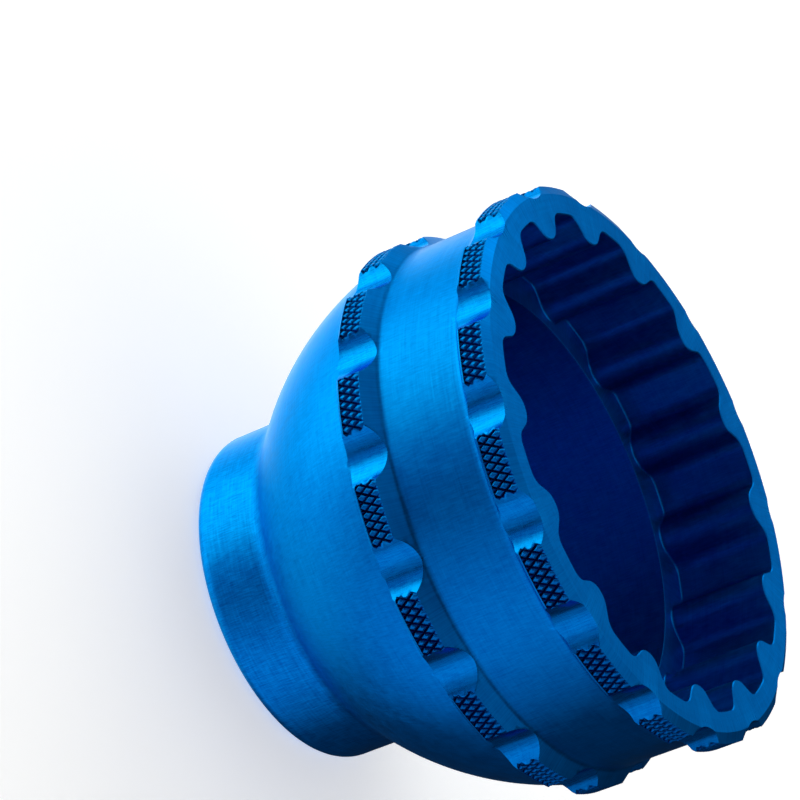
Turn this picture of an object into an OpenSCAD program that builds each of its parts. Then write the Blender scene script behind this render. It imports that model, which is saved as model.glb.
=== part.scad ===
// Bottom bracket socket: a turned cup with a ring of internal teeth in its mouth,
// two fluted grip rings outside and a square drive in its small end.
// The drive end stands on z = 0 and the toothed mouth opens upwards.

/* [Toothed mouth] */
// Teeth round the mouth, each with a grip flute behind it
tooth_n = 16; // [12:1:20]
// Diameter across the bottoms of the notches between the teeth
notch_d = 52.6; // [51:0.1:53.4]
// Height of a tooth from the bottom of the notch to its tip
tooth_h = 2.55; // [2:0.05:2.8]
// Radius of the rounded tip of a tooth
tip_r = 2.05; // [1.6:0.05:2.2]
// Radius of the hollow at the foot of a tooth
foot_r = 1.6; // [0.8:0.05:1.8]
// Lean of a tooth's flank away from the radius, in degrees
flank_a = 38; // [30:1:44]
// Depth of the teeth behind the mouth face
tooth_l = 11; // [6:0.5:13]

/* [Clearance bore] */
// How far the smooth bore behind the teeth stands inside their tips
bore_step = 1.25; // [0.75:0.05:3.5]
// Length of the smooth bore
bore_l = 11.5; // [5:0.5:12.5]
// Diameter of the flat floor at the foot of the taper
floor_d = 25; // [18:0.5:26]

/* [Square drive] */
// Width of the drive square across its flats
drive_w = 9.6; // [9.5:0.05:9.8]
// Thickness of the end wall that the square runs through
drive_l = 10.5; // [8:0.5:12]
// Depth of the turned lead-in round the mouth of the square
lead_h = 0.7; // [0.3:0.1:1.2]

/* [Grip rings] */
// Height of the two grip rings above the middle band
ring_h = 1.4; // [1.3:0.05:2.4]
// How far the mouth face's outer edge lies inside the rings
face_drop = 1; // [0.5:0.05:1.2]
// Height of the bevel from the mouth face to the front ring
face_bevel_h = 0.5; // [0.3:0.1:1]
// Width of the front ring with its bevel
front_ring_w = 3.4; // [2.6:0.1:4.5]
// Width of the rear ring between its bevel and the dome
rear_ring_w = 2.75; // [2:0.05:4]
// Height of the bevel in front of the rear ring
rear_bevel_h = 1.35; // [0.8:0.05:2.5]
// Break on the rear edge of each grip ring
ring_break = 0.25; // [0.1:0.05:0.5]

/* [Flutes] */
// Radius of the cutter that makes the flutes
flute_r = 4; // [3:0.1:5]
// Depth of a flute below the outer diameter of the rings
flute_depth = 1.25; // [0.8:0.05:1.3]

/* [Middle band] */
// Wall between the bottoms of the notches and the middle band
band_wall = 1.75; // [1.5:0.05:2.5]
// Width of the band between the front ring and the foot of the rear bevel
band_w = 9.65; // [6:0.05:14]
// Hollow radius at the front end of the band
band_front_r = 1; // [0.4:0.1:1.3]
// Hollow radius at the rear end of the band
band_rear_r = 1.6; // [0.5:0.1:2]

/* [Dome and drive boss] */
// Height of the dome above the middle band where it leaves the rear ring
dome_rise = 0.25; // [0.15:0.05:0.7]
// Height of the dome from the drive boss to the rear ring
dome_h = 17.45; // [16:0.05:22]
// Radius of the dome's outline
dome_arc_r = 32; // [28:0.5:45]
// Diameter of the drive boss
boss_d = 35.4; // [33:0.1:38]
// Length of the drive boss below the dome
boss_l = 8.2; // [7:0.1:12]
// Radius of the hollow between the boss and the dome
boss_fillet_r = 1.5; // [0.8:0.1:2.5]
// Rounding of the drive boss's outer edge
boss_edge_r = 1.7; // [0.6:0.1:2.5]

/* [Hidden] */
// Smallest cut past a face that a cutter needs
over = 1;
// Two points closer than this are one
tiny = 0.001;
// How far the flute cutters reach below the rear ring
flute_reach = 8;
// Straight steps in each rounded stretch of an outline
arc_steps = 8;
dome_steps = 20;
notch_steps = 4;
round_fn = 180;
flute_fn = 64;

// Heights up the axis, from the drive end
dome_z = boss_l;
rear_ring_z = dome_z + dome_h;
rear_bevel_z = rear_ring_z + rear_ring_w;
band_z = rear_bevel_z + rear_bevel_h;
front_ring_z = band_z + band_w;
total_h = front_ring_z + front_ring_w;

// Radii
notch_rad = notch_d / 2;
tip_rad = notch_rad - tooth_h;
bore_rad = tip_rad - bore_step;
band_rad = notch_rad + band_wall;
ring_rad = band_rad + ring_h;
face_rad = ring_rad - face_drop;
dome_rad = band_rad + dome_rise;
boss_rad = boss_d / 2;
flute_axis_rad = ring_rad - flute_depth + flute_r;

// Points on an arc round c, from angle a0 to a1
function arc(c, r, a0, a1, n) =
    [for (i = [0:n]) let (a = a0 + (a1 - a0) * i / n) c + r * [cos(a), sin(a)]];

// Points of a list in the opposite order
function reversed(p) = [for (i = [len(p) - 1:-1:0]) p[i]];

// Direction of a flat vector, in degrees
function heading(v) = atan2(v[1], v[0]);

// One half of a tooth, from its tip out to the bottom of the notch beside it.
// The tip is an arc, the flank a straight line that leans by flank_a, and the foot
// a hollow arc that meets both the flank and the bottom of the notch.
tip_c = [tip_rad + tip_r, 0];
flank_dir = [cos(flank_a), sin(flank_a)];
flank_out = [-sin(flank_a), cos(flank_a)];
flank_start = tip_c + tip_r * flank_out;
foot_base = flank_start + foot_r * flank_out;
foot_b = foot_base * flank_dir;
foot_q = (notch_rad - foot_r) ^ 2 - foot_base * foot_base;
foot_c = foot_base + (sqrt(foot_b ^ 2 + foot_q) - foot_b) * flank_dir;
half_tooth = concat(
    arc(tip_c, tip_r, 180, heading(flank_out), arc_steps),
    arc(foot_c, foot_r, heading(-flank_out), heading(foot_c), arc_steps));

// The bottom of the notch, between the feet of two teeth
notch_edge_a = heading(foot_c);
notch_floor = arc([0, 0], notch_rad, notch_edge_a, 360 / tooth_n - notch_edge_a, notch_steps);

function turned(p, a) = [for (q = p) [q[0] * cos(a) - q[1] * sin(a), q[0] * sin(a) + q[1] * cos(a)]];
function inner(p) = [for (i = [1:len(p) - 2]) p[i]];
function mirrored_half() = [for (q = reversed(half_tooth)) if (q[1] > tiny) [q[0], -q[1]]];

// Outline of the space inside the teeth
mouth_outline = [
    for (k = [0:tooth_n - 1])
        for (q = turned(concat(mirrored_half(), half_tooth, inner(notch_floor)), k * 360 / tooth_n)) q];

// Centre of the dome's outline, from its two ends
dome_low = [boss_rad, dome_z];
dome_high = [dome_rad, rear_ring_z];
dome_chord = norm(dome_high - dome_low);
dome_across = [dome_low[1] - dome_high[1], dome_high[0] - dome_low[0]] / dome_chord;
dome_c = (dome_low + dome_high) / 2 + sqrt(dome_arc_r ^ 2 - (dome_chord / 2) ^ 2) * dome_across;

// Hollow between the boss and the dome
boss_fillet_x = boss_rad + boss_fillet_r;
boss_fillet_c = [
    boss_fillet_x,
    dome_c[1] - sqrt((dome_arc_r + boss_fillet_r) ^ 2 - (boss_fillet_x - dome_c[0]) ^ 2)];

// The rear bevel's lean, and where the hollow at its foot begins
bevel_a = atan2(ring_rad - band_rad, rear_bevel_h);
band_rear_t = band_rear_r * tan(bevel_a / 2);
band_rear_c = [band_rad + band_rear_r, band_z + band_rear_t];

// Half of the turned outline, from the axis at the drive end round to the mouth
body_outline = concat(
    [[0, 0]],
    arc([boss_rad - boss_edge_r, boss_edge_r], boss_edge_r, -90, 0, arc_steps),
    arc(boss_fillet_c, boss_fillet_r, 180, heading(dome_c - boss_fillet_c), arc_steps),
    arc(dome_c, dome_arc_r, heading(boss_fillet_c - dome_c), heading(dome_high - dome_c), dome_steps),
    [[ring_rad - ring_break, rear_ring_z], [ring_rad, rear_ring_z + ring_break]],
    [[ring_rad, rear_bevel_z]],
    arc(band_rear_c, band_rear_r, 180 + bevel_a, 180, arc_steps),
    arc([band_rad + band_front_r, front_ring_z - band_front_r], band_front_r, 180, 90, arc_steps),
    [[ring_rad - ring_break, front_ring_z], [ring_rad, front_ring_z + ring_break]],
    [[ring_rad, total_h - face_bevel_h], [face_rad, total_h], [0, total_h]]);

module turned_body() {
    rotate_extrude($fn = round_fn) polygon(body_outline);
}

module mouth_teeth() {
    translate([0, 0, total_h - tooth_l])
        linear_extrude(tooth_l + over) polygon(mouth_outline);
}

// The smooth bore behind the teeth, and the taper down to the floor
module clearance_bore() {
    bore_z = total_h - tooth_l - bore_l;
    translate([0, 0, bore_z]) cylinder(h = bore_l + over, r = bore_rad, $fn = round_fn);
    translate([0, 0, drive_l])
        cylinder(h = bore_z - drive_l, r1 = floor_d / 2, r2 = bore_rad, $fn = round_fn);
}

// The drive square, with a turned lead-in at its outer end
module square_drive() {
    corner_rad = drive_w / sqrt(2);
    translate([-drive_w / 2, -drive_w / 2, -over]) cube([drive_w, drive_w, drive_l + 2 * over]);
    translate([0, 0, -over])
        cylinder(h = lead_h + over, r1 = corner_rad + over, r2 = corner_rad - lead_h, $fn = round_fn);
}

// Grip flutes, one behind each tooth, cut along both rings
module flutes() {
    flute_z = rear_ring_z - flute_reach;
    for (k = [0:tooth_n - 1])
        rotate([0, 0, k * 360 / tooth_n])
            translate([flute_axis_rad, 0, flute_z])
                cylinder(h = total_h - flute_z + over, r = flute_r, $fn = flute_fn);
}

module socket_body() {
    color("royalblue")
        difference() {
            turned_body();
            mouth_teeth();
            clearance_bore();
            square_drive();
            flutes();
        }
}

socket_body();
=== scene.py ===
"""Looks for the bottom bracket socket: a blue anodised cup with a toothed mouth."""

import math

import bmesh
import bpy
import numpy as np
from mathutils import Matrix, Vector


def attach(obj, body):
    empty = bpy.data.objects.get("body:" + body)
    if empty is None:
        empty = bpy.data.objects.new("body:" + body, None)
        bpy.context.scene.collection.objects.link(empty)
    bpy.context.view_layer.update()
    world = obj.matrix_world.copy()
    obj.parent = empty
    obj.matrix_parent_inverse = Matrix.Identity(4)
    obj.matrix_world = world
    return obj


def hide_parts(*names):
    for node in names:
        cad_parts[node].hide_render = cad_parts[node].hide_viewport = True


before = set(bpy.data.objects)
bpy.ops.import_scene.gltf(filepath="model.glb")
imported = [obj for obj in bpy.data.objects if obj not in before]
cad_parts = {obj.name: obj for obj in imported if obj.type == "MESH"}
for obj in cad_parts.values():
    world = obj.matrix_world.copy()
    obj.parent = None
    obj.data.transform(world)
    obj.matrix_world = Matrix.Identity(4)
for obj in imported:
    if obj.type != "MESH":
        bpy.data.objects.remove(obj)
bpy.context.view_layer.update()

MM = 0.001

# Sizes in millimetres, the same as the part's own
TEETH = 16
NOTCH_R = 26.3
TOOTH_H = 2.55
TIP_ARC_R = 2.05
FOOT_ARC_R = 1.6
FLANK_A = math.radians(38)
TOOTH_L = 11.0
BORE_R = 22.5
BORE_L = 11.5
FLOOR_R = 12.5
DRIVE_HALF = 4.8
DRIVE_L = 10.5
LEAD_H = 0.7
RING_R = 29.45
FACE_R = 28.45
FACE_BEVEL_H = 0.5
FRONT_RING_W = 3.4
REAR_RING_W = 2.75
REAR_BEVEL_H = 1.35
RING_BREAK = 0.25
FLUTE_R = 4.0
BAND_R = 28.05
BAND_W = 9.65
BAND_FRONT_R = 1.0
DOME_R = 28.3
DOME_H = 17.45
DOME_ARC_R = 32.0
BOSS_R = 17.7
BOSS_L = 8.2
BOSS_EDGE_R = 1.7

# Sizes in millimetres that follow the photograph more closely than the part's own
FLUTE_FLOOR_R = 28.17
BAND_REAR_R = 0.8
BOSS_FILLET_R = 3.0
# Slope of the rear ring's small side, and the radius where it meets the dome
REAR_SLOPE = 0.35
REAR_MEET_R = 28.222
# Hollow where the teeth meet the shoulder
FOOT_FILLET_R = 0.26
# Breaks on the teeth's front edges and on the square's inner end
TOOTH_BREAK = 0.1
DRIVE_BREAK = 0.15
# Fall of the front ring's rear side, for each millimetre of radius
FRONT_SLOPE = 0.1
# Steps in radius and height that ease a corner: at the floor, at the bore's foot, at its edge
FLOOR_EASE = ((-0.5, 0.0), (0.0, 0.15), (0.5, 0.55))
BORE_FOOT_EASE = ((-0.2, -0.3), (0.0, 0.3))
BORE_EDGE_EASE = ((0.0, -0.02), (0.02, 0.0))
# Plain stretch between the band and the hollows at its ends
BAND_EASE = 0.3
# The fluted rings end this far inside the flutes' floor, and the dome's plain rings
# begin as far again inside that
FLUTE_END = 0.05
# A step that is too small to see
TINY = 0.001

REAR_RING_Z = BOSS_L + DOME_H
REAR_BEVEL_Z = REAR_RING_Z + REAR_RING_W
BAND_Z = REAR_BEVEL_Z + REAR_BEVEL_H
FRONT_RING_Z = BAND_Z + BAND_W
TOTAL_H = FRONT_RING_Z + FRONT_RING_W
SHOULDER_Z = TOTAL_H - TOOTH_L
BORE_Z = SHOULDER_Z - BORE_L
FLUTE_AXIS_R = FLUTE_FLOOR_R + FLUTE_R
PERIOD = 2 * math.pi / TEETH

# Knurl: half pitches from flute to flute, their lean, and their size round and along
KNURL_HALVES = 26
KNURL_LEAN = math.radians(30)
KNURL_STEP_A = PERIOD / KNURL_HALVES
KNURL_STEP_Z = KNURL_STEP_A * RING_R / math.tan(KNURL_LEAN)
# Steps in each half pitch
KNURL_SPLIT = 3
# Depth of the grooves, and a diamond's height at even steps from groove to middle
KNURL_DEPTH = 0.34
KNURL_LEVELS = (0.0, 0.74, 1.0, 1.0)
# The grooves run out towards the mouth over this height, from this share of their depth
KNURL_FADE = 0.6
KNURL_FADE_START = 0.2
# Painted shade on a diamond's top, where the painted shade on a groove's floor is 1
KNURL_SHADE = 0.2
# Each knurled stretch: its upper and lower end, and the smallest step between its rings
FRONT_KNURL = (42.28, 39.8)
REAR_KNURL = (28.36, 25.98)
KNURL_GAP = 0.01

# Steps in half a flute, on a plain land and round a plain ring
FLUTE_COLUMNS = 9
LAND_SPLIT = 13
ROUND_COLUMNS = 192
# Steps on each arc: a tooth's tip and foot, the notch's floor, the dome, the hollow and
# the edge of the boss, and the hollow below the teeth
TOOTH_STEPS = 9
NOTCH_STEPS = 3
DOME_STEPS = 24
FILLET_STEPS = 8
EDGE_STEPS = 9
FOOT_STEPS = 5
# Steps on an eighth of the square: where the lead-in cuts it, and where it does not
LEAD_STEPS = 6
CORNER_STEPS = 3
# Points in the search for a flute's edge
SCAN_POINTS = 1200
# Half the width of the break between flute and land, and the narrowest half flute
EDGE_BREAK_A = math.radians(0.1)
MIN_FLUTE_A = math.radians(0.3)
# Stand-in angle from one flute column to the next, where rings are joined
COLUMN_A = 1e-4
# Heights above the flutes' floor where a ring of points is needed
FLUTE_MARKS = np.array(
    [-0.1, -0.05, 0, 0.004, 0.016, 0.036, 0.064, 0.1]
    + [0.16, 0.24, 0.34, 0.46, 0.6, 0.76, 0.94, 1.1]
)
# Edges between faces that meet at more than this angle stay sharp
SHARP_A = math.radians(24)

# Angles closer than this are one, in radians, and points closer than this, in metres
SAME_ANGLE = 1e-7
SAME_PLACE = 1e-7

# Share of the radius in the way along the outline, so that faces carry the patterns too,
# and the least radius that the patterns work with, in metres
RADIUS_SHARE = 0.6
LEAST_R = 1e-4
# Each pattern's scale round the axis and along the outline, its detail and its roughness
TURNING = (5.0, 4.5, 3.0, 0.65)
GLINTS = (170.0, 0.8, 2.0, 0.6)
MOTTLE = (16.0, 0.55, 3.0, 0.6)
# The middle between the darkest and the lightest blue, and how far each pattern swings it
MIDDLE_SHADE = 0.5
TURNING_SHADE = 0.28
GLINT_SHADE = 0.52
MOTTLE_SHADE = 0.26
# The marks are stronger inside this radius, in millimetres, by this share at the most
STRONG_R = 19.0
STRONGER = 0.9
# Roughness of the turned metal, what milling takes off it, and how far the marks swing it
TURNED_ROUGHNESS = 0.4
MILLED_LESS = 0.12
ROUGHNESS_SWING = 0.07
# Painted shade in the knurl's grooves: how fast it grows, and the most it comes to
GROOVE_GAIN = 1.15
GROOVE_MOST = 0.9
# Colours: the dyed metal's darkest and lightest mark, the painted shade in the knurl's grooves,
# the metal's edge tint
DARK_BLUE = (0.0, 0.08, 0.36, 1)
LIGHT_BLUE = (0.0, 0.21, 0.68, 1)
GROOVE_SHADE_BLUE = (0.0, 0.026, 0.17, 1)
EDGE_TINT = (0.42, 0.68, 0.95, 1)
# Height of the marks, in metres, the glints' share of it, and the share that milling takes
MARK_DEPTH = 0.000009
GLINT_HEIGHT = 0.6
MILLED_FLATTER = 0.85
# Stretch of the highlights, and its quarter turn so that it lies across the marks
STRETCH = 0.5
STRETCH_TURN = 0.25

# Each lamp's direction from the part, distance and radius in metres, level and colour
LAMPS = (
    ((-0.26, -0.52, -0.82), 0.6, 0.6, 1.36, (1, 1, 0.76)),
    ((0.26, -0.81, -0.53), 1.2, 1.2, 0.64, (0.8, 0.8, 1)),
    ((0.17, -0.85, -0.51), 0.5, 0.235, 1.86, (1, 1, 0.57)),
    ((0.72, 0.53, -0.45), 1.2, 1.2, 0.58, (0.88, 0.91, 1)),
    ((0.72, 0.53, -0.45), 0.5, 0.208, 0.34, (1, 1, 1)),
    ((0.43, 0.31, -0.85), 0.55, 0.32, 0.42, (0.85, 0.88, 1)),
    ((-0.82, -0.38, -0.47), 0.49, 0.235, 1.55, (1, 0.92, 0.8)),
    ((-0.72, -0.53, 0.45), 1.2, 1.2, 0.58, (1, 1, 0.96)),
    ((-0.66, -0.48, 0.6), 0.5, 0.17, 1.6, (1, 1, 0.88)),
    ((-0.43, 0.31, 0.85), 0.6, 0.6, 0.14, (1, 1, 1)),
    ((0.3, -0.45, 0.8), 0.55, 0.28, 0.5, (0.98, 0.99, 1)),
    ((0.0, 0.42, 0.9), 0.6, 0.33, 0.55, (1, 1, 0.98)),
    ((-0.3, 0.85, -0.42), 0.6, 0.25, 0.08, (0.75, 0.82, 1)),
)
WORLD_COLOUR = (0.95, 0.97, 1, 1)
WORLD_STRENGTH = 0.035

# Floor, in metres: inner rings, the flat part, the turned-up rim, its top, and the gap
# between floor and part
FLAT_RINGS = (0.4, 1.0)
FLAT_R = 1.6
RIM_R = 0.8
RIM_TOP_Z = 2.6
FLOOR_GAP = 0.0003
FLOOR_COLUMNS = 96
RIM_STEPS = 12
FLOOR_COLOUR = (0.9, 0.9, 0.9, 1)
FLOOR_ROUGHNESS = 0.9
FLOOR_GLOW = 0.5

# Camera: its right, up and back directions, its place in metres, and its lens
CAMERA_RIGHT = (-0.40433853, 0.38149194, 0.83124861)
CAMERA_UP = (-0.16144025, -0.92435532, 0.34569392)
CAMERA_BACK = (0.90024852, 0.00558039, 0.43534063)
CAMERA_PLACE = (0.36409551, -0.012579, 0.19641472)
CAMERA_LENS = 178.288
SENSOR_WIDTH = 36
VIEW_DEPTH = 20

# Numbers of the inputs and the output of a mix node that mixes colours
MIX_SHARE, MIX_FIRST, MIX_SECOND = 0, 6, 7
MIX_RESULT = 2


class Skin:
    """The points and faces of a closed skin that is built ring by ring."""

    def __init__(self):
        self.points = []
        # Painted shade of the knurl at each point, 1 on a groove's floor, and how far each point
        # is milled
        self.groove_shades = []
        self.milled = []
        self.faces = []

    def ring(self, angles, radii, z, groove_shades=0.0, milled=0.0):
        """Adds a ring of points and returns their angles and numbers."""
        angles = np.asarray(angles, float)
        radii = np.broadcast_to(np.asarray(radii, float), angles.shape)
        first = len(self.points)
        for a, r in zip(angles, radii):
            self.points.append((r * math.cos(a), r * math.sin(a), z))
        self.groove_shades.extend(np.broadcast_to(groove_shades, angles.shape))
        self.milled.extend(np.broadcast_to(milled, angles.shape))
        return angles, np.arange(first, first + len(angles))

    def face(self, *corners):
        """Adds a face and leaves out corners that are the same point."""
        kept = [c for i, c in enumerate(corners) if c != corners[i - 1]]
        if len(set(kept)) >= 3:
            self.faces.append(tuple(int(c) for c in kept))

    def join(self, one, other):
        """Fills the strip between two rings whose angles rise all the way round."""
        (a, ia), (b, ib) = one, other
        a = np.append(a, a[0] + 2 * math.pi)
        b = np.append(b, b[0] + 2 * math.pi)
        n, m = len(ia), len(ib)
        i = j = 0
        while i < n or j < m:
            next_a = a[i + 1] if i < n else math.inf
            next_b = b[j + 1] if j < m else math.inf
            p, q = ia[i % n], ib[j % m]
            if abs(next_a - next_b) < SAME_ANGLE:
                self.face(p, ia[(i + 1) % n], ib[(j + 1) % m], q)
                i, j = i + 1, j + 1
            elif next_a < next_b:
                self.face(p, ia[(i + 1) % n], q)
                i += 1
            else:
                self.face(p, ib[(j + 1) % m], q)
                j += 1

    def lead(self, previous, rings):
        """Joins each ring to the one before it, from previous on, and returns the last."""
        for ring in rings:
            self.join(previous, ring)
            previous = ring
        return previous


def arc(cx, cy, r, a0, a1, steps):
    """Points on an arc, with angles in radians."""
    t = np.linspace(a0, a1, steps + 1)
    return np.stack([cx + r * np.cos(t), cy + r * np.sin(t)], axis=1)


def circles(skin, rows):
    """A plain round ring for each radius and height."""
    angles = np.arange(ROUND_COLUMNS) * 2 * math.pi / ROUND_COLUMNS
    return (skin.ring(angles, r, z) for r, z in rows)


def dome_centre():
    """Centre of the dome's outline, from its two ends."""
    low = np.array([BOSS_R, BOSS_L])
    high = np.array([DOME_R, REAR_RING_Z])
    chord = np.linalg.norm(high - low)
    across = np.array([low[1] - high[1], high[0] - low[0]]) / chord
    return (low + high) / 2 + math.sqrt(DOME_ARC_R**2 - chord**2 / 4) * across


DOME_C = dome_centre()


def dome_height(r):
    """Height of the dome's outline at radius r."""
    return DOME_C[1] - math.sqrt(DOME_ARC_R**2 - (r - DOME_C[0]) ** 2)


def flute_radius(a):
    """Distance from the axis to the flute's wall, a radians from the flute's middle."""
    side = FLUTE_AXIS_R * np.sin(a)
    return FLUTE_AXIS_R * np.cos(a) - np.sqrt(np.maximum(FLUTE_R**2 - side**2, 0))


def knurl_cut(a, z, z0, z_high):
    """Depth of the knurl's grooves at angle a from a land's middle, and height z."""
    u = a / KNURL_STEP_A
    v = (z - z0) / KNURL_STEP_Z
    ridge = np.minimum(
        1 - np.abs(2 * np.mod((u + v) / 2, 1) - 1),
        1 - np.abs(2 * np.mod((u - v) / 2, 1) - 1),
    )
    run_out = min(1.0, KNURL_FADE_START + (z_high - z) / KNURL_FADE)
    marks = np.linspace(0, 1, len(KNURL_LEVELS))
    return KNURL_DEPTH * run_out * (1 - np.interp(ridge, marks, KNURL_LEVELS))


def fluted_ring(skin, r, z, knurl=None, split=LAND_SPLIT):
    """One ring round the fluted part.

    Returns the ring with its true angles, the same ring with angles that agree column
    by column in the flutes, and its numbers column by column.
    """

    def land_radius(a):
        if knurl is None:
            return np.full_like(a, r)
        return r - knurl_cut(a - PERIOD / 2, z, *knurl)

    # Where the flute's wall comes out at the land
    scan = np.linspace(0, PERIOD / 2, SCAN_POINTS)
    inside = flute_radius(scan) < land_radius(scan)
    edge = scan[np.argmin(inside)] if inside[0] else 0.0
    edge = max(edge, MIN_FLUTE_A)

    flute = np.linspace(0, edge - EDGE_BREAK_A, FLUTE_COLUMNS + 1)
    low, high = edge + EDGE_BREAK_A, PERIOD - edge - EDGE_BREAK_A
    land = np.clip(np.linspace(0, PERIOD, split + 1), low, high)
    kept, column = np.unique(np.round(land, 9), return_inverse=True)
    local = np.concatenate([flute, kept, PERIOD - flute[:0:-1]])
    start, count = len(flute), len(local)
    on_land = slice(start, start + len(kept))

    radii = np.concatenate(
        [
            np.minimum(flute_radius(flute), r),
            land_radius(kept),
            np.minimum(flute_radius(flute[:0:-1]), r),
        ]
    )
    # Painted shade on the knurl: full on the grooves' floors, and a little on the diamonds' tops
    groove_shades = np.zeros(count)
    if knurl is not None:
        depth = (r - radii[on_land]) / KNURL_DEPTH
        groove_shades[on_land] = KNURL_SHADE + (1 - KNURL_SHADE) * depth
    milled = np.ones(count)
    milled[on_land] = 0.0

    close = COLUMN_A * np.arange(FLUTE_COLUMNS + 1)
    matched = np.concatenate([close, kept, PERIOD - close[:0:-1]])
    matched[start] = 2 * close[-1]
    matched[start + len(kept) - 1] = PERIOD - 2 * close[-1]

    def all_round(values):
        return np.concatenate([values + k * PERIOD for k in range(TEETH)])

    ring = skin.ring(
        all_round(local), np.tile(radii, TEETH), z, np.tile(groove_shades, TEETH), np.tile(milled, TEETH)
    )
    even = all_round(matched), ring[1]
    after = start + len(kept) + np.arange(len(flute) - 1)
    columns = np.concatenate([np.arange(start), start + column, after])
    numbers = np.concatenate([ring[1][0] + k * count + columns for k in range(TEETH)])
    return ring, even, numbers


def fluted(skin, rows):
    """A fluted ring for each radius and height, with angles that agree in the flutes."""
    return (fluted_ring(skin, r, z)[1] for r, z in rows)


def knurled_band(skin, r, z_high, z_low):
    """A knurled stretch from z_high down to z_low. Returns its first and last ring."""
    z0 = (z_high + z_low) / 2
    step = KNURL_STEP_Z / KNURL_SPLIT
    whole = np.arange(math.ceil((z_low - z0) / step), math.floor((z_high - z0) / step) + 1)
    heights = [z_high] + [z0 + k * step for k in whole[::-1]] + [z_low]
    heights = [h for i, h in enumerate(heights) if i == 0 or heights[i - 1] - h > KNURL_GAP]
    split = KNURL_HALVES * KNURL_SPLIT
    rings = [fluted_ring(skin, r, h, (z0, z_high), split) for h in heights]
    per_tooth = FLUTE_COLUMNS + 1 + split + 1 + FLUTE_COLUMNS
    total = per_tooth * TEETH
    for (_, _, upper), (_, _, lower), high, low in zip(rings, rings[1:], heights, heights[1:]):
        row = math.floor(((high + low) / 2 - z0) / KNURL_STEP_Z)
        for c in range(total):
            d = (c + 1) % total
            a, b, e, f = upper[c], upper[d], lower[d], lower[c]
            land = c % per_tooth - (FLUTE_COLUMNS + 1)
            half = land // KNURL_SPLIT - KNURL_HALVES // 2
            if not 0 <= land < split:
                skin.face(a, f, e, b)
            elif (half + row) % 2 == 0:
                skin.face(f, b, a)
                skin.face(f, e, b)
            else:
                skin.face(a, f, e)
                skin.face(a, e, b)
    return rings[0][1], rings[-1][1]


def tooth_outline(offset=0.0):
    """Angles and radii round the space inside the teeth, moved out by offset."""
    tip_c = np.array([NOTCH_R - TOOTH_H + TIP_ARC_R, 0.0])
    along = np.array([math.cos(FLANK_A), math.sin(FLANK_A)])
    out = np.array([-math.sin(FLANK_A), math.cos(FLANK_A)])
    base = tip_c + (TIP_ARC_R + FOOT_ARC_R) * out
    b = base @ along
    q = (NOTCH_R - FOOT_ARC_R) ** 2 - base @ base
    foot_c = base + (math.sqrt(b * b + q) - b) * along
    out_a = math.atan2(out[1], out[0])
    foot_a = math.atan2(foot_c[1], foot_c[0])
    half = np.concatenate(
        [
            arc(*tip_c, TIP_ARC_R - offset, math.pi, out_a, TOOTH_STEPS),
            arc(*foot_c, FOOT_ARC_R + offset, out_a - math.pi, foot_a, TOOTH_STEPS),
            arc(0, 0, NOTCH_R + offset, foot_a, PERIOD / 2, NOTCH_STEPS)[1:],
        ]
    )
    a = np.arctan2(half[:, 1], half[:, 0])
    r = np.hypot(half[:, 0], half[:, 1])
    a = np.concatenate([a, PERIOD - a[-2:0:-1]])
    r = np.concatenate([r, r[-2:0:-1]])
    return np.concatenate([a + k * PERIOD for k in range(TEETH)]), np.tile(r, TEETH)


def flute_steps(high, low):
    """Radii between two radii, closer together near the flutes' floor."""
    marks = FLUTE_FLOOR_R + FLUTE_MARKS[::-1]
    return [high] + [m for m in marks if low + 2 * TINY < m < high - 2 * TINY] + [low]


def front_rows():
    """Radii and heights of the bevel, from the mouth face out to the front ring."""
    lean = FACE_BEVEL_H / (RING_R - FACE_R)
    return [(r, TOTAL_H - lean * (r - FACE_R)) for r in flute_steps(RING_R, FACE_R)[::-1]]


def middle_rows():
    """Radii and heights of the front ring's rear side and the hollow below it."""
    hollow_r = BAND_R + BAND_FRONT_R
    rows = [(RING_R, FRONT_RING_Z + RING_BREAK)]
    for r in flute_steps(RING_R - RING_BREAK, hollow_r):
        rows.append((r, FRONT_RING_Z + FRONT_SLOPE * (r - hollow_r)))
    for r in flute_steps(hollow_r, BAND_R)[1:]:
        lean = math.acos(max(-1.0, (r - hollow_r) / BAND_FRONT_R))
        rows.append((r, FRONT_RING_Z - BAND_FRONT_R + BAND_FRONT_R * math.sin(lean)))
    return rows


def rear_rows():
    """Radii and heights of the hollow and the bevel in front of the rear ring."""
    bevel_a = math.atan2(RING_R - BAND_R, REAR_BEVEL_H)
    centre_r = BAND_R + BAND_REAR_R
    centre_z = BAND_Z + BAND_REAR_R * math.tan(bevel_a / 2)
    meet_r = centre_r - BAND_REAR_R * math.cos(bevel_a)
    meet_z = centre_z - BAND_REAR_R * math.sin(bevel_a)
    rows = []
    for r in flute_steps(meet_r, BAND_R)[::-1]:
        lean = math.acos(min(1.0, (centre_r - r) / BAND_REAR_R))
        rows.append((r, centre_z - BAND_REAR_R * math.sin(lean)))
    for r in flute_steps(RING_R, meet_r)[::-1][1:]:
        share = (RING_R - r) / (RING_R - meet_r)
        rows.append((r, REAR_BEVEL_Z + (meet_z - REAR_BEVEL_Z) * share))
    return rows


def dome_rows():
    """Radii and heights from the rear ring's edge to where the flutes end on the dome."""
    side_r = RING_R - RING_BREAK
    rows = [(RING_R, REAR_RING_Z + RING_BREAK), (side_r, REAR_RING_Z)]
    for r in flute_steps(side_r, REAR_MEET_R)[1:]:
        rows.append((r, REAR_RING_Z - REAR_SLOPE * (side_r - r)))
    for r in flute_steps(REAR_MEET_R, FLUTE_FLOOR_R - FLUTE_END)[1:]:
        rows.append((r, dome_height(r)))
    return rows


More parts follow.
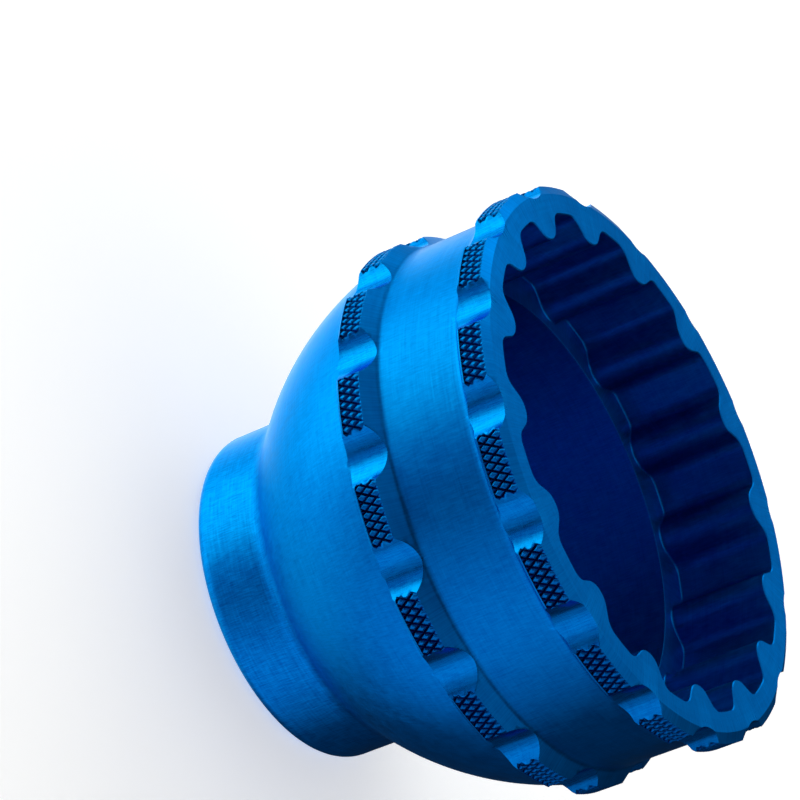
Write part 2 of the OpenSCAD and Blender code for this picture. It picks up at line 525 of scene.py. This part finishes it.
def add_rings(skin):
    """The front bevel, both grip rings and the band between them, down to the dome.

    Returns the mouth face's outer edge and the last ring.
    """
    front, rear = front_rows(), rear_rows()
    face_edge, first, _ = fluted_ring(skin, *front[0])
    previous = skin.lead(first, fluted(skin, front[1:]))
    upper, lower = knurled_band(skin, RING_R, *FRONT_KNURL)
    skin.join(previous, upper)
    below_knurl = [(RING_R, FRONT_KNURL[1] - KNURL_GAP)]
    previous = skin.lead(lower, fluted(skin, below_knurl + middle_rows()))
    band_ends = (FRONT_RING_Z - BAND_FRONT_R - BAND_EASE, rear[0][1] + BAND_EASE)
    previous = skin.lead(previous, circles(skin, [(BAND_R, z) for z in band_ends]))
    previous = skin.lead(previous, fluted(skin, rear))
    upper, lower = knurled_band(skin, RING_R, *REAR_KNURL)
    skin.join(previous, upper)
    below_knurl = [(RING_R, REAR_KNURL[1] - KNURL_GAP)]
    return face_edge, skin.lead(lower, fluted(skin, below_knurl + dome_rows()))


def add_dome_and_boss(skin, previous):
    """The dome, the hollow, the boss and its rounded edge. Returns the last ring."""
    fillet_x = BOSS_R + BOSS_FILLET_R
    reach = (DOME_ARC_R + BOSS_FILLET_R) ** 2 - (fillet_x - DOME_C[0]) ** 2
    fillet_z = DOME_C[1] - math.sqrt(reach)
    to_dome = math.atan2(DOME_C[1] - fillet_z, DOME_C[0] - fillet_x)
    from_dome = math.atan2(fillet_z - DOME_C[1], fillet_x - DOME_C[0])
    top_r = FLUTE_FLOOR_R - 2 * FLUTE_END
    top_a = math.atan2(dome_height(top_r) - DOME_C[1], top_r - DOME_C[0])
    outline = np.concatenate(
        [
            arc(*DOME_C, DOME_ARC_R, top_a, from_dome, DOME_STEPS),
            arc(fillet_x, fillet_z, BOSS_FILLET_R, to_dome, math.pi, FILLET_STEPS)[1:],
            arc(BOSS_R - BOSS_EDGE_R, BOSS_EDGE_R, BOSS_EDGE_R, 0, -math.pi / 2, EDGE_STEPS),
        ]
    )
    return skin.lead(previous, circles(skin, outline))


def add_drive(skin, previous):
    """The drive end's face, the lead-in and the square. Returns the last ring."""
    corner_r = DRIVE_HALF * math.sqrt(2)
    ledge_r = corner_r - LEAD_H
    cross = math.acos(DRIVE_HALF / ledge_r)
    cut = np.linspace(0, cross, LEAD_STEPS + 1)
    whole = np.linspace(cross, math.pi / 4, CORNER_STEPS + 1)
    eighth = np.concatenate([cut, whole[1:]])
    quarter = np.concatenate([eighth, math.pi / 2 - eighth[-2:0:-1]])
    angles = np.concatenate([quarter + k * math.pi / 2 for k in range(4)])
    square = DRIVE_HALF / np.maximum(np.abs(np.cos(angles)), np.abs(np.sin(angles)))
    rows = (
        (corner_r, 0.0),
        (np.maximum(ledge_r, square), LEAD_H),
        (square, LEAD_H + TINY),
        (square, DRIVE_L - DRIVE_BREAK),
        (square + DRIVE_BREAK, DRIVE_L),
    )
    return skin.lead(previous, (skin.ring(angles, r, z) for r, z in rows))


def add_inside(skin, previous):
    """The floor, taper, bore, shoulder and teeth. Returns the teeth's front edge."""
    corners = (
        (FLOOR_R, DRIVE_L, FLOOR_EASE),
        (BORE_R, BORE_Z, BORE_FOOT_EASE),
        (BORE_R, SHOULDER_Z, BORE_EDGE_EASE),
    )
    rows = [(r + dr, z + dz) for r, z, ease in corners for dr, dz in ease]
    previous = skin.lead(previous, circles(skin, rows))
    foot = arc(-FOOT_FILLET_R, FOOT_FILLET_R, FOOT_FILLET_R, -math.pi / 2, 0, FOOT_STEPS)
    steps = [(offset, SHOULDER_Z + z) for offset, z in foot]
    steps += [(0.0, TOTAL_H - TOOTH_BREAK), (TOOTH_BREAK, TOTAL_H)]
    return skin.lead(previous, (skin.ring(*tooth_outline(offset), z) for offset, z in steps))


def build_socket():
    """The whole skin: out and down from the mouth face, then up the inside."""
    skin = Skin()
    face_edge, previous = add_rings(skin)
    previous = add_dome_and_boss(skin, previous)
    previous = add_drive(skin, previous)
    previous = add_inside(skin, previous)
    skin.join(previous, face_edge)
    return skin


def new_object(name, mesh):
    """Smooths a mesh and puts it in the scene as an object."""
    mesh.polygons.foreach_set("use_smooth", [True] * len(mesh.polygons))
    obj = bpy.data.objects.new(name, mesh)
    bpy.context.scene.collection.objects.link(obj)
    return obj


def skin_object(name, skin):
    """An object of a skin's points and faces, with the knurl's painted shade and the milled share
    on the points.
    """
    mesh = bpy.data.meshes.new(name)
    mesh.from_pydata([tuple(c * MM for c in p) for p in skin.points], [], skin.faces)
    for kind, values in (("groove_shade", skin.groove_shades), ("milled", skin.milled)):
        mesh.attributes.new(kind, "FLOAT", "POINT").data.foreach_set("value", values)
    bm = bmesh.new()
    bm.from_mesh(mesh)
    bmesh.ops.remove_doubles(bm, verts=bm.verts, dist=SAME_PLACE)
    bmesh.ops.dissolve_degenerate(bm, edges=bm.edges, dist=SAME_PLACE / 10)
    bmesh.ops.recalc_face_normals(bm, faces=bm.faces)
    bm.to_mesh(mesh)
    bm.free()
    obj = new_object(name, mesh)
    mesh.set_sharp_from_angle(angle=SHARP_A)
    return obj


class Nodes:
    """Short calls for a material's nodes."""

    def __init__(self, material):
        material.use_nodes = True
        self.tree = material.node_tree
        self.shader = self.tree.nodes["Principled BSDF"]

    def new(self, kind, *inputs, **settings):
        """Adds a node with its settings, and its first inputs as values or links."""
        node = self.tree.nodes.new(kind)
        for name, value in settings.items():
            setattr(node, name, value)
        for i, value in enumerate(inputs):
            self.put(node.inputs[i], value)
        return node

    def put(self, socket, value):
        """Links an input to another node's output, or sets its value."""
        if isinstance(value, bpy.types.NodeSocket):
            self.tree.links.new(value, socket)
        else:
            socket.default_value = value

    def math(self, operation, *inputs):
        """The result of one sum."""
        return self.new("ShaderNodeMath", *inputs, operation=operation).outputs[0]

    def noise(self, vector, detail, roughness):
        """Noise about a middle of 0, from -1 to 1."""
        node = self.new("ShaderNodeTexNoise", vector)
        node.inputs["Scale"].default_value = 1.0
        node.inputs["Detail"].default_value = detail
        node.inputs["Roughness"].default_value = roughness
        return self.math("MULTIPLY_ADD", node.outputs[0], 2.0, -1.0)

    def attribute(self, name):
        """A value that the mesh holds on its points."""
        return self.new("ShaderNodeAttribute", attribute_name=name).outputs["Fac"]


def anodised():
    """Dyed aluminium with turning marks, short glints across them and soft mottling, and painted
    shade in the knurl.
    """
    material = bpy.data.materials.new("anodised_blue")
    n = Nodes(material)
    place = n.new("ShaderNodeSeparateXYZ", n.new("ShaderNodeTexCoord").outputs["Object"]).outputs
    square = n.math("ADD", n.math("POWER", place[0], 2.0), n.math("POWER", place[1], 2.0))
    radius = n.math("MAXIMUM", n.math("SQRT", square), LEAST_R)
    east = n.math("DIVIDE", place[0], radius)
    north = n.math("DIVIDE", place[1], radius)
    # Way along the outline, in about millimetres
    outward = n.math("MULTIPLY", radius, RADIUS_SHARE / MM)
    along = n.math("ADD", n.math("MULTIPLY", place[2], 1 / MM), outward)

    def pattern(round_scale, along_scale, detail, roughness):
        """Noise over points round the axis and along the outline, each in its own scale."""
        points = n.new(
            "ShaderNodeCombineXYZ",
            n.math("MULTIPLY", east, round_scale),
            n.math("MULTIPLY", north, round_scale),
            n.math("MULTIPLY", along, along_scale),
        )
        return n.noise(points.outputs[0], detail, roughness)

    turning, glints, mottle = pattern(*TURNING), pattern(*GLINTS), pattern(*MOTTLE)
    groove_shade, milled = n.attribute("groove_shade"), n.attribute("milled")

    # 1 near the axis, and down to 0 at the radius where the stronger marks end
    inner = n.math("MULTIPLY_ADD", radius, -1 / MM, STRONG_R)
    inner = n.math("MINIMUM", n.math("MAXIMUM", inner, 0.0), 1.0)
    strength = n.math("MULTIPLY_ADD", inner, STRONGER, 1.0)
    marks = n.math("MULTIPLY", turning, TURNING_SHADE)
    marks = n.math("MULTIPLY_ADD", glints, GLINT_SHADE, marks)
    shade = n.math("MULTIPLY_ADD", marks, strength, MIDDLE_SHADE)
    shade = n.math("MULTIPLY_ADD", mottle, MOTTLE_SHADE, shade)
    ramp = n.new("ShaderNodeValToRGB", shade)
    ramp.color_ramp.elements[0].color = DARK_BLUE
    ramp.color_ramp.elements[1].color = LIGHT_BLUE
    colour = n.new("ShaderNodeMix", data_type="RGBA")
    # Painted shade: the knurl goes towards a dark blue, most in its grooves
    share = n.math("MINIMUM", n.math("MULTIPLY", groove_shade, GROOVE_GAIN), GROOVE_MOST)
    n.put(colour.inputs[MIX_SHARE], share)
    n.put(colour.inputs[MIX_FIRST], ramp.outputs["Color"])
    n.put(colour.inputs[MIX_SECOND], GROOVE_SHADE_BLUE)
    n.put(n.shader.inputs["Base Color"], colour.outputs[MIX_RESULT])

    rough = n.math("MULTIPLY_ADD", milled, -MILLED_LESS, TURNED_ROUGHNESS)
    rough = n.math("MULTIPLY_ADD", mottle, ROUGHNESS_SWING, rough)
    rough = n.math("MULTIPLY_ADD", glints, ROUGHNESS_SWING, rough)
    n.put(n.shader.inputs["Roughness"], rough)

    height = n.math("MULTIPLY_ADD", glints, GLINT_HEIGHT, turning)
    height = n.math("MULTIPLY", height, n.math("MULTIPLY_ADD", milled, -MILLED_FLATTER, 1.0))
    bump = n.new("ShaderNodeBump")
    bump.inputs["Strength"].default_value = 1.0
    bump.inputs["Distance"].default_value = MARK_DEPTH
    n.put(bump.inputs["Height"], height)
    n.put(n.shader.inputs["Normal"], bump.outputs["Normal"])

    tangent = n.new("ShaderNodeTangent", direction_type="RADIAL", axis="Z")
    n.put(n.shader.inputs["Tangent"], tangent.outputs["Tangent"])
    n.shader.inputs["Metallic"].default_value = 1.0
    n.shader.inputs["Specular Tint"].default_value = EDGE_TINT
    n.shader.inputs["Anisotropic"].default_value = STRETCH
    n.shader.inputs["Anisotropic Rotation"].default_value = STRETCH_TURN
    return material


def floor_mesh():
    """A pale sweep: a flat disc whose rim turns up far from the part."""
    rim = arc(FLAT_R, RIM_R, RIM_R, -math.pi / 2, 0, RIM_STEPS)
    wall_r = FLAT_R + RIM_R
    flat = [(r, 0.0) for r in FLAT_RINGS]
    outline = [*flat, *rim, (wall_r, 2 * RIM_R), (wall_r, RIM_TOP_Z)]
    points, faces = [(0.0, 0.0, 0.0)], []
    for r, z in outline:
        for c in range(FLOOR_COLUMNS):
            a = 2 * math.pi * c / FLOOR_COLUMNS
            points.append((r * math.cos(a), r * math.sin(a), z))
    for c in range(FLOOR_COLUMNS):
        d = (c + 1) % FLOOR_COLUMNS
        faces.append((0, 1 + c, 1 + d))
        for row in range(len(outline) - 1):
            low, high = 1 + row * FLOOR_COLUMNS, 1 + (row + 1) * FLOOR_COLUMNS
            faces.append((low + c, high + c, high + d, low + d))
    mesh = bpy.data.meshes.new("floor")
    mesh.from_pydata(points, [], faces)
    return mesh


def floor_white():
    """A pale matt surface with a glow for camera, mirrored and passed rays alone."""
    material = bpy.data.materials.new("floor_white")
    n = Nodes(material)
    n.shader.inputs["Base Color"].default_value = FLOOR_COLOUR
    n.shader.inputs["Roughness"].default_value = FLOOR_ROUGHNESS
    n.shader.inputs["Emission Color"].default_value = (1, 1, 1, 1)
    path = n.new("ShaderNodeLightPath").outputs
    mirrored = n.math("MAXIMUM", path["Is Glossy Ray"], path["Is Transmission Ray"])
    seen = n.math("MAXIMUM", path["Is Camera Ray"], mirrored)
    n.put(n.shader.inputs["Emission Strength"], n.math("MULTIPLY", seen, FLOOR_GLOW))
    return material


def add_floor():
    """The floor under the part.

    Shadow rays and mirrored rays pass through it, so that lamps below it light the part.
    """
    floor = new_object("floor", floor_mesh())
    floor.location.z = -FLOOR_GAP
    floor.data.materials.append(floor_white())
    floor.visible_glossy = False
    floor.visible_shadow = False


def add_lamp(number, direction, distance, radius, level, colour):
    """A round soft lamp that faces the part, with the level a white card would show."""
    light = bpy.data.lights.new(f"lamp_{number}", "AREA")
    light.shape = "DISK"
    light.size = 2 * radius
    light.energy = level * (math.pi * radius) ** 2
    light.color = colour
    lamp = bpy.data.objects.new(f"lamp_{number}", light)
    bpy.context.scene.collection.objects.link(lamp)
    away = Vector(direction).normalized()
    lamp.location = Vector((0, 0, TOTAL_H * MM / 2)) + distance * away
    lamp.rotation_euler = away.to_track_quat("Z", "Y").to_euler()
    lamp.visible_camera = False


def add_camera():
    """The camera, from the fit to the photograph."""
    camera = bpy.data.objects.new("camera", bpy.data.cameras.new("camera"))
    bpy.context.scene.collection.objects.link(camera)
    rows = zip(CAMERA_RIGHT, CAMERA_UP, CAMERA_BACK, CAMERA_PLACE)
    camera.matrix_world = Matrix([*rows, (0, 0, 0, 1)])
    camera.data.lens = CAMERA_LENS
    camera.data.sensor_width = SENSOR_WIDTH
    camera.data.clip_end = VIEW_DEPTH
    bpy.context.scene.camera = camera


def add_world():
    """A faint even light from all round."""
    world = bpy.data.worlds.new("world")
    bpy.context.scene.world = world
    world.use_nodes = True
    background = world.node_tree.nodes["Background"]
    background.inputs["Color"].default_value = WORLD_COLOUR
    background.inputs["Strength"].default_value = WORLD_STRENGTH


socket = skin_object("socket_dressed", build_socket())
socket.data.materials.append(anodised())
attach(socket, "root")
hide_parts("socket_body")

add_floor()
for number, lamp in enumerate(LAMPS):
    add_lamp(number, *lamp)
add_camera()
add_world()
bpy.context.scene.view_settings.view_transform = "Standard"
